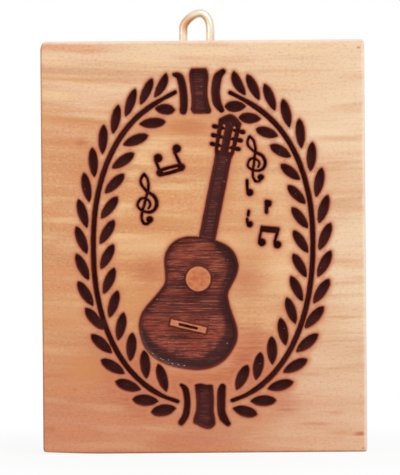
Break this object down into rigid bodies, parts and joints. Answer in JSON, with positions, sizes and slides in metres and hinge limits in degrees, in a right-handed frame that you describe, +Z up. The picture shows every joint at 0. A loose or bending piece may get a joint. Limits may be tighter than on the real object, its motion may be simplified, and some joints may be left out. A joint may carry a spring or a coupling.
{
  "type": "cookie mould",
  "caption": "Rectangular wooden cookie mould, carved with a leaf wreath, a guitar and notes, with a wire hanging ring strapped and screwed to its back.",
  "frame": {"origin": "middle of the underside of the board's lower edge, halfway through its thickness", "axes": "+Z up the board, +X to the viewer's right, -Y out of the carved face"},
  "size_m": [0.11, 0.0252, 0.1525],
  "materials": {
    "wood": "planed pale hardwood, oiled, with scorched recesses",
    "ring_brass": "polished",
    "strap_brass": "satin rolled sheet",
    "screw_brass": "turned"
  },
  "bodies": {
    "mould": {"mould_board": "wood", "hanger_strap": "strap_brass", "hanger_screw": "screw_brass"},
    "ring": {"hanger_ring": "ring_brass"}
  },
  "joints": [
    {"name": "ring_hinge", "type": "hinge", "parent": "mould", "child": "ring", "pos_m": [-0.00185, 0.0126, 0.136], "axis": [-1, 0, 0], "range_deg": [-16, 178]}
  ]
}
